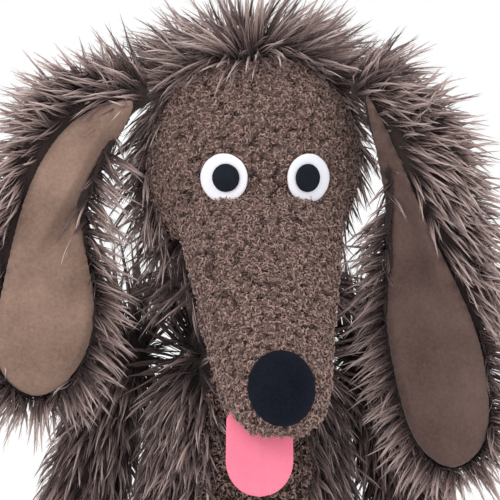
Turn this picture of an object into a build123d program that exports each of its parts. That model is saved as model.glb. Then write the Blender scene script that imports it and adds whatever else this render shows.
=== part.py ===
from build123d import *
import math
import os

# Shaggy dog hand puppet with a working mouth. Millimetres, +Z up, the face towards -Y.
# The origin is the centre of the face the sleeve stands on. Left and right are the dog's own.

# ---- torso sleeve: (height, half width, half depth) of the tips of the packed pile
TORSO_SECTIONS = ((3, 82, 68), (50, 86, 72), (130, 82, 69), (200, 66, 57), (250, 48, 42))
LINING_SECTIONS = ((3, 58, 46), (130, 54, 42), (200, 42, 34), (250, 30, 25))
TORSO_SKIN = 16.0
BELLY_SINK = 9.0
BELLY_WIDE = 42.0
BELLY_NARROW = 26.0
BELLY_BEND = 130.0
BELLY_BACK = 5.0
LINING_THICKNESS = 2.0
BASE_THICKNESS = 3.0
BASE_INSET = 4.0
HEM_THICKNESS = 3.0
HEM_HEIGHT = 18.0

# ---- neck ring
NECK_BOTTOM = 251.0
NECK_TOP = 275.0
NECK_Y = -1.0
NECK_FUR = (46.0, 36.0)
NECK_PAD = (34.0, 28.0)
NECK_LINING = (30.0, 25.0)

# ---- skull, before the head is turned
HEAD_YAW = 7.5
SKULL_Y = -30.0
SKULL_RADIUS = 72.0
SKULL_WAIST = 342.0
SKULL_RISE = 82.0
SKULL_DROP = 74.0
SKULL_CUT = 290.0
SKULL_LEVELS = (SKULL_CUT, 315.0, SKULL_WAIST, 375.0, 402.0)
SKULL_TIP = 3.0
FACE_SKIN = 6.0
HOOD_PILE = 12.0
SEAM_Y = -34.0
SEAM_TILT = 12.0

# ---- snout, measured along its own slanting axis from the middle of the skull
SNOUT_START = (0.0, -60.0, 320.0)
SNOUT_DOWN = (0.0, -0.6, -0.8)
SNOUT_FRONT = (0.0, -0.8, 0.6)
BRIDGE_SECTIONS = ((0, 56, 24), (50, 52, 36), (100, 44, 34), (150, 37, 29), (182, 30, 23), (200, 15, 12))
THROAT_SECTIONS = ((0, 50, 13), (14, 50, 15), (40, 48, 22), (74, 43, 27))
JAW_SECTIONS = ((73, 43, 27), (100, 41, 27), (140, 35, 23), (170, 29, 17), (186, 15, 9))
JAW_SKIN = 5.0
MOUTH_ROOF = -4.0
MOUTH_FLOOR = -20.0
BOARD_THICKNESS = 2.0
BOARD_START = 76.0
BOARD_CORNER = 170.0
BOARD_TIP = 186.0
BOARD_WIDE = 38.0
BOARD_NARROW = 24.0
MOUTH_CORNER = 72.0
MOUTH_MIDDLE = -12.0
THROAT_WEDGE = 26.0

# ---- hand room inside the head and the jaw
POCKET_LINING = 1.5
WRIST_Y = -17.0
WRIST_HALF = (29.0, 25.0)
WRIST_TOP = 366.0
FINGER_WIDTH = 56.0
FINGER_HEIGHT = 19.0
FINGER_MIDDLE = 9.0
FINGER_RUN = (-48.0, 122.0)
THUMB_WIDTH = 26.0
THUMB_HEIGHT = 16.0
THUMB_MIDDLE = -30.0
THROAT_RUN = (-10.0, 80.0)
THUMB_RUN = (64.0, 132.0)
THUMB_TIP_SHRINK = 5.0

# ---- face details
EYE_X = 29.0
EYE_Z = 332.0
EYE_RADIUS = 17.2
EYE_THICKNESS = 3.0
PUPIL_RADIUS = 9.6
PUPIL_THICKNESS = 1.4
NOSE_BACK = (0.0, -178.0, 187.0)
NOSE_FACING = (0.0, -0.966, 0.259)
NOSE_SECTIONS = ((0, 19, 22), (8, 23.5, 27), (16, 20, 23), (21, 11, 13))
NOSE_COVER = 2.5
TONGUE_X = -12.0
TONGUE_Y = -161.0
TONGUE_TOP = 168.0
TONGUE_BOTTOM = 115.0
TONGUE_HALF_WIDTH = 23.0
TONGUE_THICKNESS = 2.5

# ---- crown strip
CROWN_RUN = (-62.0, -6.0)
CROWN_OUTLINE = ((-66, 396), (-56, 432), (-22, 451), (18, 455), (52, 440), (72, 398))

# ---- ears, outlines in X and Z
EAR_FRONT = -86.0
EAR_LINING = 2.0
EAR_DEPTH = 30.0
EAR_ROOT_RADIUS = 8.0
EAR_ROOT_DEPTH = 12.0
RIGHT_EAR_HINGE = (-80.0, 392.0)
RIGHT_EAR_FUR = (
    (-76, 403), (-112, 412), (-143, 396), (-163, 358), (-177, 310), (-184, 250),
    (-184, 200), (-170, 171), (-145, 163), (-118, 178), (-99, 215), (-94, 280), (-92, 340),
)
RIGHT_EAR_LINING = (
    (-84, 386), (-128, 362), (-152, 318), (-169, 250), (-169, 200), (-146, 182), (-118, 198), (-105, 255),
    (-100, 340),
)
LEFT_EAR_HINGE = (88.0, 392.0)
LEFT_EAR_FUR = (
    (82, 403), (110, 402), (138, 384), (157, 348), (170, 300), (180, 250), (185, 200),
    (182, 155), (166, 128), (142, 120), (120, 130), (103, 160), (90, 215), (86, 280), (88, 340),
)
LEFT_EAR_LINING = (
    (86, 386), (106, 345), (132, 285), (158, 228), (167, 180), (160, 144), (143, 133), (124, 142), (106, 180),
    (96, 240), (95, 320),
)

# ---- arms
SHOULDER = (87.0, 26.0, 212.0)
WRIST = (119.0, 22.0, 88.0)
ARM_RADII = (24.0, 23.0)
ARM_SKIN = 9.0
PAW_RADIUS = 21.0
PAW_REACH = 10.0


def slant(run, rise):
    """Point on the snout's middle plane, run along the snout and rise towards its bridge."""
    return tuple(
        start + run * down + rise * front
        for start, down, front in zip(SNOUT_START, SNOUT_DOWN, SNOUT_FRONT)
    )


def mouth_plane(rise):
    """Plane along the snout that looks out through its bridge, at the given rise."""
    return Plane(origin=slant(0, rise), x_dir=(1, 0, 0), z_dir=SNOUT_FRONT)


def upright_form(sections, grow=0.0):
    """Solid through level ellipses, each one (height, half width, half depth)."""
    with BuildPart() as form:
        for height, half_width, half_depth in sections:
            with BuildSketch(Plane.XY.offset(height)):
                Ellipse(half_width + grow, half_depth + grow)
        loft()
    return form.part


def slanting_form(sections, rise, grow=0.0):
    """Solid through ellipses across the snout, each one (run, half width, half depth)."""
    with BuildPart() as form:
        for run, half_width, half_depth in sections:
            with BuildSketch(Plane(origin=slant(run, rise), x_dir=(1, 0, 0), z_dir=SNOUT_DOWN)):
                Ellipse(half_width + grow, half_depth + grow)
        loft()
    return form.part


def skull_form(grow=0.0):
    """Egg-shaped skull with a level underside."""
    top = SKULL_WAIST + SKULL_RISE + grow
    outline = []
    for height in (*SKULL_LEVELS, top - SKULL_TIP):
        half_height = (SKULL_RISE if height > SKULL_WAIST else SKULL_DROP) + grow
        share = (height - SKULL_WAIST) / half_height
        outline.append(((SKULL_RADIUS + grow) * math.sqrt(1 - share**2), height))
    with BuildPart() as form:
        with BuildSketch(Plane.XZ.offset(-SKULL_Y)):
            with BuildLine():
                Spline(*outline, (0, top))
                Polyline((0, top), (0, SKULL_CUT), outline[0])
            make_face()
        revolve(axis=Axis((0, SKULL_Y, 0), (0, 0, 1)))
    return form.part


def bridge_form(grow=0.0):
    """Upper half of the snout."""
    with BuildPart() as form:
        add(slanting_form(BRIDGE_SECTIONS, 0.0, grow))
        split(bisect_by=mouth_plane(MOUTH_ROOF), keep=Keep.TOP)
    return form.part


def throat_form(grow=0.0):
    """Underside of the head from the neck to the corner of the mouth."""
    wedge = math.radians(THROAT_WEDGE)
    facing = tuple(
        down * math.cos(wedge) - front * math.sin(wedge) for down, front in zip(SNOUT_DOWN, SNOUT_FRONT)
    )
    with BuildPart() as form:
        add(slanting_form(THROAT_SECTIONS, MOUTH_FLOOR, grow))
        split(
            bisect_by=Plane(origin=slant(MOUTH_CORNER, MOUTH_MIDDLE), x_dir=(1, 0, 0), z_dir=facing),
            keep=Keep.BOTTOM,
        )
    return form.part


def jaw_form(grow=0.0):
    """Lower half of the snout, from the corner of the mouth to the chin."""
    with BuildPart() as form:
        add(slanting_form(JAW_SECTIONS, MOUTH_FLOOR, grow))
        split(bisect_by=mouth_plane(MOUTH_FLOOR), keep=Keep.BOTTOM)
    return form.part


def head_form(grow=0.0):
    """Whole head without the jaw."""
    with BuildPart() as form:
        add(skull_form(grow))
        add(bridge_form(grow))
        add(throat_form(grow))
    return form.part


def slanting_duct(width, height, middle, run, grow=0.0, tip_shrink=0.0):
    """Flat duct with rounded sides along the snout, a little smaller at its far end."""
    with BuildPart() as form:
        for distance, shrink in ((run[0], 0.0), (run[1] + grow, tip_shrink)):
            with BuildSketch(Plane(origin=slant(distance, middle), x_dir=(1, 0, 0), z_dir=SNOUT_DOWN)):
                SlotOverall(width + 2 * grow - 2 * shrink, height + 2 * grow - 2 * shrink)
        loft()
    return form.part


def hand_room(grow=0.0):
    """Room for the wrist, the four fingers and the root of the thumb inside the head."""
    with BuildPart() as form:
        with BuildSketch(Plane.XY.offset(SKULL_CUT)):
            with Locations((0, WRIST_Y)):
                Ellipse(WRIST_HALF[0] + grow, WRIST_HALF[1] + grow)
        extrude(amount=WRIST_TOP - SKULL_CUT + grow)
        add(slanting_duct(FINGER_WIDTH, FINGER_HEIGHT, FINGER_MIDDLE, FINGER_RUN, grow))
        add(slanting_duct(THUMB_WIDTH, THUMB_HEIGHT, THUMB_MIDDLE, THROAT_RUN, grow))
    return form.part


def nose_form(grow=0.0):
    """Padded oval nose, through ellipses each one (distance from its back, half width, half height)."""
    back = Plane(origin=NOSE_BACK, x_dir=(1, 0, 0), z_dir=NOSE_FACING)
    with BuildPart() as form:
        for distance, half_width, half_height in NOSE_SECTIONS:
            with BuildSketch(back.offset(distance + grow)):
                Ellipse(half_width + grow, half_height + grow)
        loft()
    return form.part


def arm_form(side, grow=0.0):
    """Tapering sleeve of one arm from the shoulder to the wrist."""
    reach = Vector(*WRIST) - Vector(*SHOULDER)
    with BuildPart() as form:
        for place, radius in zip((SHOULDER, WRIST), ARM_RADII):
            centre = (side * place[0], place[1], place[2])
            along = (side * reach.X, reach.Y, reach.Z)
            with BuildSketch(Plane(origin=centre, x_dir=(0, 1, 0), z_dir=along)):
                Circle(radius + grow)
        loft()
        with Locations((side * SHOULDER[0], SHOULDER[1], SHOULDER[2])):
            Sphere(ARM_RADII[0] + grow)
    return form.part


torso_outer = upright_form(TORSO_SECTIONS)
torso_inner = upright_form(TORSO_SECTIONS, -TORSO_SKIN)
belly_outer = upright_form(TORSO_SECTIONS, -BELLY_SINK)
sleeve_outer = upright_form(LINING_SECTIONS)
sleeve_inner = upright_form(LINING_SECTIONS, -LINING_THICKNESS)
head_outer = head_form()
head_inner = head_form(-FACE_SKIN)
skull_pile = skull_form(HOOD_PILE)
room = hand_room()
room_lined = hand_room(POCKET_LINING)
jaw_outer = jaw_form()
jaw_inner = jaw_form(-JAW_SKIN)
thumb_room = slanting_duct(THUMB_WIDTH, THUMB_HEIGHT, THUMB_MIDDLE, THUMB_RUN, 0.0, THUMB_TIP_SHRINK)
thumb_lined = slanting_duct(
    THUMB_WIDTH, THUMB_HEIGHT, THUMB_MIDDLE, THUMB_RUN, POCKET_LINING, THUMB_TIP_SHRINK
)
upright_seam = Plane(origin=(0, SEAM_Y, SKULL_WAIST), x_dir=(1, 0, 0), z_dir=(0, 1, 0))
seam_plane = upright_seam.rotated((SEAM_TILT, 0, 0))
pieces = {}

# ---- torso
with BuildPart() as belly_slot:
    with BuildSketch(Plane.XZ.offset(BELLY_BACK)):
        with BuildLine():
            Polyline(
                (-BELLY_WIDE, 0),
                (BELLY_WIDE, 0),
                (BELLY_WIDE, BELLY_BEND),
                (BELLY_NARROW, TORSO_SECTIONS[-1][0]),
                (-BELLY_NARROW, TORSO_SECTIONS[-1][0]),
                (-BELLY_WIDE, BELLY_BEND),
                close=True,
            )
        make_face()
    extrude(amount=TORSO_SECTIONS[1][2])

with BuildPart() as body_fur:
    add(torso_outer)
    add(torso_inner, mode=Mode.SUBTRACT)
    add(belly_slot.part, mode=Mode.SUBTRACT)
pieces["body_fur"] = body_fur

with BuildPart() as belly_panel:
    add(belly_outer)
    add(torso_inner, mode=Mode.SUBTRACT)
    add(belly_slot.part, mode=Mode.INTERSECT)
pieces["belly_panel"] = belly_panel

with BuildPart() as body_stuffing:
    add(torso_inner)
    add(sleeve_outer, mode=Mode.SUBTRACT)
pieces["body_stuffing"] = body_stuffing

with BuildPart() as sleeve_lining:
    add(sleeve_outer)
    add(sleeve_inner, mode=Mode.SUBTRACT)
pieces["sleeve_lining"] = sleeve_lining

_, base_half_width, base_half_depth = TORSO_SECTIONS[0]
_, opening_half_width, opening_half_depth = LINING_SECTIONS[0]
hem_inset = LINING_THICKNESS + HEM_THICKNESS
with BuildPart() as base_ring:
    with BuildSketch():
        Ellipse(base_half_width - BASE_INSET, base_half_depth - BASE_INSET)
        Ellipse(
            opening_half_width - LINING_THICKNESS,
            opening_half_depth - LINING_THICKNESS,
            mode=Mode.SUBTRACT,
        )
    extrude(amount=BASE_THICKNESS)
pieces["base_ring"] = base_ring

with BuildPart() as hem_band:
    with BuildSketch():
        Ellipse(opening_half_width - LINING_THICKNESS, opening_half_depth - LINING_THICKNESS)
        Ellipse(opening_half_width - hem_inset, opening_half_depth - hem_inset, mode=Mode.SUBTRACT)
    extrude(amount=HEM_HEIGHT)
    add(sleeve_lining.part, mode=Mode.SUBTRACT)
pieces["hem_band"] = hem_band

# ---- neck, three rings one inside the other
neck_rings = (
    ("neck_fur", NECK_FUR, NECK_PAD),
    ("neck_stuffing", NECK_PAD, NECK_LINING),
    ("neck_lining", NECK_LINING, (NECK_LINING[0] - LINING_THICKNESS, NECK_LINING[1] - LINING_THICKNESS)),
)
for name, outer, inner in neck_rings:
    with BuildPart() as ring:
        with BuildSketch(Plane.XY.offset(NECK_BOTTOM)):
            with Locations((0, NECK_Y)):
                Ellipse(*outer)
                Ellipse(*inner, mode=Mode.SUBTRACT)
        extrude(amount=NECK_TOP - NECK_BOTTOM)
    pieces[name] = ring

# ---- head, built facing straight ahead and then turned
with BuildPart() as face_front:
    add(head_outer)
    add(head_inner, mode=Mode.SUBTRACT)
    add(room_lined, mode=Mode.SUBTRACT)
    split(bisect_by=seam_plane, keep=Keep.BOTTOM)

with BuildPart() as hood_back:
    add(skull_pile)
    add(head_inner, mode=Mode.SUBTRACT)
    add(room_lined, mode=Mode.SUBTRACT)
    split(bisect_by=seam_plane, keep=Keep.TOP)

with BuildPart() as filling:
    add(head_inner)
    add(room_lined, mode=Mode.SUBTRACT)

with BuildPart() as pocket:
    add(room_lined)
    add(room, mode=Mode.SUBTRACT)
    add(head_inner, mode=Mode.INTERSECT)

with BuildPart() as crown_band:
    with BuildSketch(Plane.XZ.offset(-CROWN_RUN[1])):
        with BuildLine():
            arch = Spline(*CROWN_OUTLINE)
            Line(arch @ 0, arch @ 1)
        make_face()
    extrude(amount=CROWN_RUN[1] - CROWN_RUN[0])
    add(skull_pile, mode=Mode.SUBTRACT)
    add(head_outer, mode=Mode.SUBTRACT)


def mouth_plate(rise):
    """Tongue-shaped plate of a mouth board or its felt, its lower face at the given rise."""
    with BuildPart() as plate:
        with BuildSketch(mouth_plane(rise)):
            with BuildLine():
                Polyline(
                    (-BOARD_NARROW, -BOARD_CORNER),
                    (-BOARD_WIDE, -BOARD_START),
                    (BOARD_WIDE, -BOARD_START),
                    (BOARD_NARROW, -BOARD_CORNER),
                )
                ThreePointArc(
                    (BOARD_NARROW, -BOARD_CORNER),
                    (0, -BOARD_TIP),
                    (-BOARD_NARROW, -BOARD_CORNER),
                )
            make_face()
        extrude(amount=BOARD_THICKNESS)
    return plate.part


turned = {
    "face_panel": face_front.part,
    "head_hood": hood_back.part,
    "crown_strip": crown_band.part,
    "head_stuffing": filling.part,
    "finger_pocket": pocket.part,
    "palate_board": mouth_plate(MOUTH_ROOF - BOARD_THICKNESS),
    "palate_felt": mouth_plate(MOUTH_ROOF - 2 * BOARD_THICKNESS),
    "jaw_board": mouth_plate(MOUTH_FLOOR),
    "jaw_felt": mouth_plate(MOUTH_FLOOR + BOARD_THICKNESS),
}

# ---- nose, a felt cover over a small pad
nose_inside = nose_form(-NOSE_COVER)
with BuildPart() as nose_cover:
    add(nose_form())
    add(nose_inside, mode=Mode.SUBTRACT)
    add(head_outer, mode=Mode.SUBTRACT)
turned["nose_cover"] = nose_cover.part

with BuildPart() as nose_pad:
    add(nose_inside)
    add(head_outer, mode=Mode.SUBTRACT)
turned["nose_pad"] = nose_pad.part

# ---- eyes, each a pale disc moulded to the face with a dark disc on it
eye_depth = math.sqrt(SKULL_RADIUS**2 - EYE_X**2)
for side, side_name in ((-1, "right"), (1, "left")):
    outward = (side * EYE_X / SKULL_RADIUS, -eye_depth / SKULL_RADIUS, 0)
    surface = Plane(origin=(side * EYE_X, SKULL_Y - eye_depth, EYE_Z), x_dir=(0, 0, 1), z_dir=outward)
    with BuildPart() as eye_white:
        with BuildSketch(surface):
            Circle(EYE_RADIUS)
        extrude(amount=EYE_THICKNESS, both=True)
        add(head_outer, mode=Mode.SUBTRACT)
    turned["eye_white_" + side_name] = eye_white.part
    with BuildPart() as pupil:
        with BuildSketch(surface.offset(EYE_THICKNESS)):
            Circle(PUPIL_RADIUS)
        extrude(amount=PUPIL_THICKNESS)
    turned["pupil_" + side_name] = pupil.part

# ---- jaw
with BuildPart() as jaw_shell:
    add(jaw_outer)
    add(jaw_inner, mode=Mode.SUBTRACT)
    add(thumb_lined, mode=Mode.SUBTRACT)
turned["jaw_skin"] = jaw_shell.part

with BuildPart() as jaw_filling:
    add(jaw_inner)
    add(thumb_lined, mode=Mode.SUBTRACT)
turned["jaw_stuffing"] = jaw_filling.part

with BuildPart() as thumb_lining:
    add(thumb_lined)
    add(thumb_room, mode=Mode.SUBTRACT)
    add(jaw_inner, mode=Mode.INTERSECT)
turned["thumb_pocket"] = thumb_lining.part

# ---- tongue, a rounded flap sewn in between the lips
with BuildPart() as tongue_flap:
    with BuildSketch(Plane.XZ.offset(-TONGUE_Y)):
        with BuildLine():
            lower = TONGUE_BOTTOM + TONGUE_HALF_WIDTH
            tongue_right = TONGUE_X - TONGUE_HALF_WIDTH
            tongue_left = TONGUE_X + TONGUE_HALF_WIDTH
            Polyline(
                (tongue_right, lower),
                (tongue_right, TONGUE_TOP),
                (tongue_left, TONGUE_TOP),
                (tongue_left, lower),
            )
            ThreePointArc((tongue_left, lower), (TONGUE_X, TONGUE_BOTTOM), (tongue_right, lower))
        make_face()
    extrude(amount=TONGUE_THICKNESS)
turned["tongue"] = tongue_flap.part

for name, straight in turned.items():
    with BuildPart() as piece:
        add(straight, rotation=(0, 0, HEAD_YAW))
    pieces[name] = piece


# ---- ears, a shaggy flap with a thin velour lining on its front
def flap(outline, front, depth):
    """Flat flap with a smooth outline, its front face at the given Y."""
    with BuildPart() as form:
        with BuildSketch(Plane.XZ.offset(-front)):
            with BuildLine():
                Spline(*outline, periodic=True)
            make_face()
        extrude(amount=-depth)
    return form.part


ears = (
    ("right", RIGHT_EAR_HINGE, RIGHT_EAR_FUR, RIGHT_EAR_LINING),
    ("left", LEFT_EAR_HINGE, LEFT_EAR_FUR, LEFT_EAR_LINING),
)
for side_name, hinge, fur_outline, lining_outline in ears:
    with BuildPart() as ear_lining:
        add(flap(lining_outline, EAR_FRONT, EAR_LINING))
    pieces["ear_lining_" + side_name] = ear_lining
    with BuildPart() as ear_fur:
        add(flap(fur_outline, EAR_FRONT + EAR_LINING, EAR_DEPTH))
        with BuildSketch(Plane.XZ.offset(-EAR_FRONT - EAR_LINING)):
            with Locations(hinge):
                Circle(EAR_ROOT_RADIUS)
        extrude(amount=-EAR_DEPTH - EAR_ROOT_DEPTH)
    pieces["ear_fur_" + side_name] = ear_fur

# ---- arms, each a shaggy sleeve on a soft filling with a rounded paw
for side, side_name in ((-1, "right"), (1, "left")):
    reach = (Vector(*WRIST) - Vector(*SHOULDER)).normalized() * PAW_REACH
    arm_inside = arm_form(side, -ARM_SKIN)
    with BuildPart() as arm_fur:
        add(arm_form(side))
        add(arm_inside, mode=Mode.SUBTRACT)
    pieces["arm_fur_" + side_name] = arm_fur
    with BuildPart() as arm_stuffing:
        add(arm_inside)
    pieces["arm_stuffing_" + side_name] = arm_stuffing
    with BuildPart() as paw:
        with Locations((side * (WRIST[0] + reach.X), WRIST[1] + reach.Y, WRIST[2] + reach.Z)):
            Sphere(PAW_RADIUS)
        cuff = Plane(
            origin=(side * WRIST[0], WRIST[1], WRIST[2]),
            x_dir=(0, 1, 0),
            z_dir=(side * reach.X, reach.Y, reach.Z),
        )
        split(bisect_by=cuff, keep=Keep.TOP)
    pieces["paw_" + side_name] = paw

os.makedirs("parts", exist_ok=True)
for name, piece in pieces.items():
    piece.part.label = name
    export_step(piece.part, "parts/" + name + ".step")
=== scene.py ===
import math

import bmesh
import bpy
import numpy as np
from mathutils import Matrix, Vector
from mathutils.kdtree import KDTree


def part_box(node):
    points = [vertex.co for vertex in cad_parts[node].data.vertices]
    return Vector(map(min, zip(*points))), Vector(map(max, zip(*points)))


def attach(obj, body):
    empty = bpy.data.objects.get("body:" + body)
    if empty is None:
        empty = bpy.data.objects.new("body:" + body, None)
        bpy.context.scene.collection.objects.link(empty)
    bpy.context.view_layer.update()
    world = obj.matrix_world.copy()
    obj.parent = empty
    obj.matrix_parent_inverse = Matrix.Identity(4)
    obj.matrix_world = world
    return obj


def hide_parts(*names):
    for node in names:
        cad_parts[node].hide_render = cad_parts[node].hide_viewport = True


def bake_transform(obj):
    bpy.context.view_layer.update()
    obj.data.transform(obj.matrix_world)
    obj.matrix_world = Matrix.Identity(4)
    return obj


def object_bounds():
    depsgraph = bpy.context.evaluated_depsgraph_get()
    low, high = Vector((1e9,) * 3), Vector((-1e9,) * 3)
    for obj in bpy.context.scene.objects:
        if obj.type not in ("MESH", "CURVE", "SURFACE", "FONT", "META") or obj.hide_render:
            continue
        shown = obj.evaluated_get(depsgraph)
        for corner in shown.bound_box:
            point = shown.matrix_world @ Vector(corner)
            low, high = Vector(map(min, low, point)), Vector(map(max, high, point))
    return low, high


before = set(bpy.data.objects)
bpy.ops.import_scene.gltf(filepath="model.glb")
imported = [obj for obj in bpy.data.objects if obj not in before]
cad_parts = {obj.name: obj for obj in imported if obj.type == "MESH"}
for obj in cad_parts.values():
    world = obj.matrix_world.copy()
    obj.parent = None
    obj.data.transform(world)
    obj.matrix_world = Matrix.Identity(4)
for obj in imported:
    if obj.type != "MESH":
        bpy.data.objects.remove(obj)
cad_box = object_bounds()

# All sizes are in metres, in the same frame as the CAD: +Z up, the torso faces -Y.
HEAD_YAW = math.radians(7.5)
UP = np.array((0.0, 0.0, 1.0))
DOWN = -UP
PILE_MAP = "OFBake"
MOST_FACES = 190000

# Fibres stay in this room around the CAD box, and just above the floor.
ROOM_SHARE = 0.03
ROOM_MORE = 0.008
ROOM = (np.array(cad_box[1]) - np.array(cad_box[0])) * ROOM_SHARE + ROOM_MORE
ROOM_LOW = np.array(cad_box[0]) - ROOM
ROOM_HIGH = np.array(cad_box[1]) + ROOM
ROOM_LOW[2] = 0.0012


# ---------------------------------------------------------------- small helpers
def unit(rows):
    """Rows of vectors, each scaled to length one."""
    rows = np.asarray(rows, dtype=float)
    return rows / np.maximum(np.linalg.norm(rows, axis=-1, keepdims=True), 1e-9)


def turned(point):
    """A point given for a head that looks straight ahead, moved to where the turned head has it."""
    x, y, z = point
    cos, sin = math.cos(HEAD_YAW), math.sin(HEAD_YAW)
    return np.array((x * cos - y * sin, x * sin + y * cos, z))


def smooth_step(low, high, value):
    share = np.clip((value - low) / (high - low), 0.0, 1.0)
    return share * share * (3 - 2 * share)


def centre_of(node):
    low, high = (np.array(corner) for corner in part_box(node))
    return (low + high) / 2


# ---------------------------------------------------------------- materials
def new_material(name):
    material = bpy.data.materials.new(name)
    material.use_nodes = True
    nodes = material.node_tree.nodes
    return material, nodes, material.node_tree.links, nodes["Principled BSDF"]


def ramp(nodes, stops):
    node = nodes.new("ShaderNodeValToRGB")
    points = node.color_ramp.elements
    while len(points) < len(stops):
        points.new(0.5)
    for point, (place, colour) in zip(points, stops):
        point.position = place
        point.color = (*colour, 1.0)
    return node


def pile_material(name, dark_stops, light_stops, sheen):
    """Fibres coloured from root to tip, between a dark and a light run that each tuft chooses."""
    material, nodes, links, shader = new_material(name)
    place = nodes.new("ShaderNodeUVMap")
    place.uv_map = PILE_MAP
    parts = nodes.new("ShaderNodeSeparateXYZ")
    dark = ramp(nodes, dark_stops)
    light = ramp(nodes, light_stops)
    blend = nodes.new("ShaderNodeMix")
    blend.data_type = "RGBA"
    links.new(place.outputs["UV"], parts.inputs["Vector"])
    links.new(parts.outputs["Y"], dark.inputs["Fac"])
    links.new(parts.outputs["Y"], light.inputs["Fac"])
    links.new(parts.outputs["X"], blend.inputs["Factor"])
    links.new(dark.outputs["Color"], blend.inputs["A"])
    links.new(light.outputs["Color"], blend.inputs["B"])
    links.new(blend.outputs["Result"], shader.inputs["Base Color"])
    shader.inputs["Roughness"].default_value = 0.62
    shader.inputs["Specular IOR Level"].default_value = 0.28
    shader.inputs["Sheen Weight"].default_value = sheen
    shader.inputs["Sheen Roughness"].default_value = 0.5
    return material


def cloth_material(name, low, high, grain, depth, sheen=0.3, patch=9.0, contrast=0.5):
    """Matt cloth: broad patches of tone, a fine grain in the colour and the same grain as relief."""
    material, nodes, links, shader = new_material(name)
    space = nodes.new("ShaderNodeTexCoord")
    fine = nodes.new("ShaderNodeTexNoise")
    fine.inputs["Scale"].default_value = grain
    fine.inputs["Detail"].default_value = 5.0
    fine.inputs["Roughness"].default_value = 0.7
    broad = nodes.new("ShaderNodeTexNoise")
    broad.inputs["Scale"].default_value = patch
    broad.inputs["Detail"].default_value = 3.0
    mix = nodes.new("ShaderNodeMix")
    mix.data_type = "FLOAT"
    mix.inputs["Factor"].default_value = contrast
    tone = ramp(nodes, ((0.3, low), (0.7, high)))
    bump = nodes.new("ShaderNodeBump")
    bump.inputs["Strength"].default_value = 0.6
    bump.inputs["Distance"].default_value = depth
    links.new(space.outputs["Object"], fine.inputs["Vector"])
    links.new(space.outputs["Object"], broad.inputs["Vector"])
    links.new(broad.outputs["Fac"], mix.inputs["A"])
    links.new(fine.outputs["Fac"], mix.inputs["B"])
    links.new(mix.outputs["Result"], tone.inputs["Fac"])
    links.new(tone.outputs["Color"], shader.inputs["Base Color"])
    links.new(fine.outputs["Fac"], bump.inputs["Height"])
    links.new(bump.outputs["Normal"], shader.inputs["Normal"])
    shader.inputs["Roughness"].default_value = 0.95
    shader.inputs["Specular IOR Level"].default_value = 0.1
    shader.inputs["Sheen Weight"].default_value = sheen
    shader.inputs["Sheen Roughness"].default_value = 0.4
    return material


# Colours from root (0) to tip (1) of a fibre; the near-black at the root end is painted shade, deep in the
# pile or in the dips between lumps, and the rest is the fibre's own colour.
DARK_LOCK = (
    (0.0, (0.014, 0.009, 0.011)),
    (0.4, (0.054, 0.031, 0.033)),
    (0.75, (0.105, 0.062, 0.064)),
    (1.0, (0.06, 0.038, 0.040)),
)
LIGHT_LOCK = (
    (0.0, (0.018, 0.011, 0.012)),
    (0.3, (0.12, 0.072, 0.066)),
    (0.62, (0.56, 0.41, 0.375)),
    (0.85, (0.68, 0.54, 0.51)),
    (1.0, (0.34, 0.25, 0.245)),
)
DARK_CURL = ((0.0, (0.014, 0.007, 0.007)), (0.35, (0.070, 0.035, 0.029)), (1.0, (0.13, 0.070, 0.058)))
LIGHT_CURL = ((0.0, (0.035, 0.018, 0.015)), (0.4, (0.27, 0.163, 0.138)), (1.0, (0.49, 0.335, 0.290)))
long_fur = pile_material("shaggy_fur", DARK_LOCK, LIGHT_LOCK, 0.1)
curl_pile = pile_material("boucle", DARK_CURL, LIGHT_CURL, 0.15)

# Each cloth: name, dark tone, light tone, grains per metre, relief, sheen, patches per metre, grain's share.
backing_cloth = cloth_material("fur_backing", (0.02, 0.014, 0.013), (0.06, 0.042, 0.038), 900, 0.0006, 0.1)
velour_light = cloth_material(
    "velour", (0.125, 0.076, 0.057), (0.34, 0.226, 0.178), 420, 0.0004, 0.25, 22.0, 0.4
)
# The same velour, darker: on the left ear's lining it is painted shade.
velour_dark = cloth_material(
    "velour_shade", (0.062, 0.037, 0.032), (0.155, 0.099, 0.087), 420, 0.0004, 0.25, 22.0, 0.4
)
nose_felt = cloth_material(
    "navy_felt", (0.0008, 0.001, 0.0025), (0.012, 0.014, 0.026), 900, 0.0008, 0.0, 40.0, 0.7
)
white_felt = cloth_material("white_felt", (0.74, 0.73, 0.80), (0.86, 0.85, 0.90), 1300, 0.0002, 0.1)
slate_felt = cloth_material(
    "slate_felt", (0.004, 0.005, 0.008), (0.020, 0.024, 0.034), 1000, 0.0004, 0.0, 60.0, 0.6
)
pink_felt = cloth_material("pink_felt", (0.86, 0.17, 0.26), (0.96, 0.27, 0.38), 1100, 0.00025, 0.1, 30.0)
mouth_cloth = cloth_material("mouth_felt", (0.22, 0.03, 0.05), (0.34, 0.06, 0.09), 1100, 0.00025, 0.2)
lining_cloth = cloth_material("lining_cloth", (0.02, 0.016, 0.016), (0.05, 0.04, 0.04), 1600, 0.0002, 0.1)
board_cloth = cloth_material("stiff_board", (0.10, 0.09, 0.08), (0.20, 0.18, 0.16), 600, 0.0002, 0.0)


# ---------------------------------------------------------------- meshes
def link(name, mesh, material):
    mesh.materials.clear()
    mesh.materials.append(material)
    obj = bpy.data.objects.new(name, mesh)
    bpy.context.scene.collection.objects.link(obj)
    return obj


def mesh_from(name, points, faces, material):
    mesh = bpy.data.meshes.new(name)
    mesh.from_pydata([tuple(p) for p in points], [], faces)
    mesh.update()
    mesh.polygons.foreach_set("use_smooth", np.ones(len(mesh.polygons), dtype=bool))
    return link(name, mesh, material)


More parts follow.
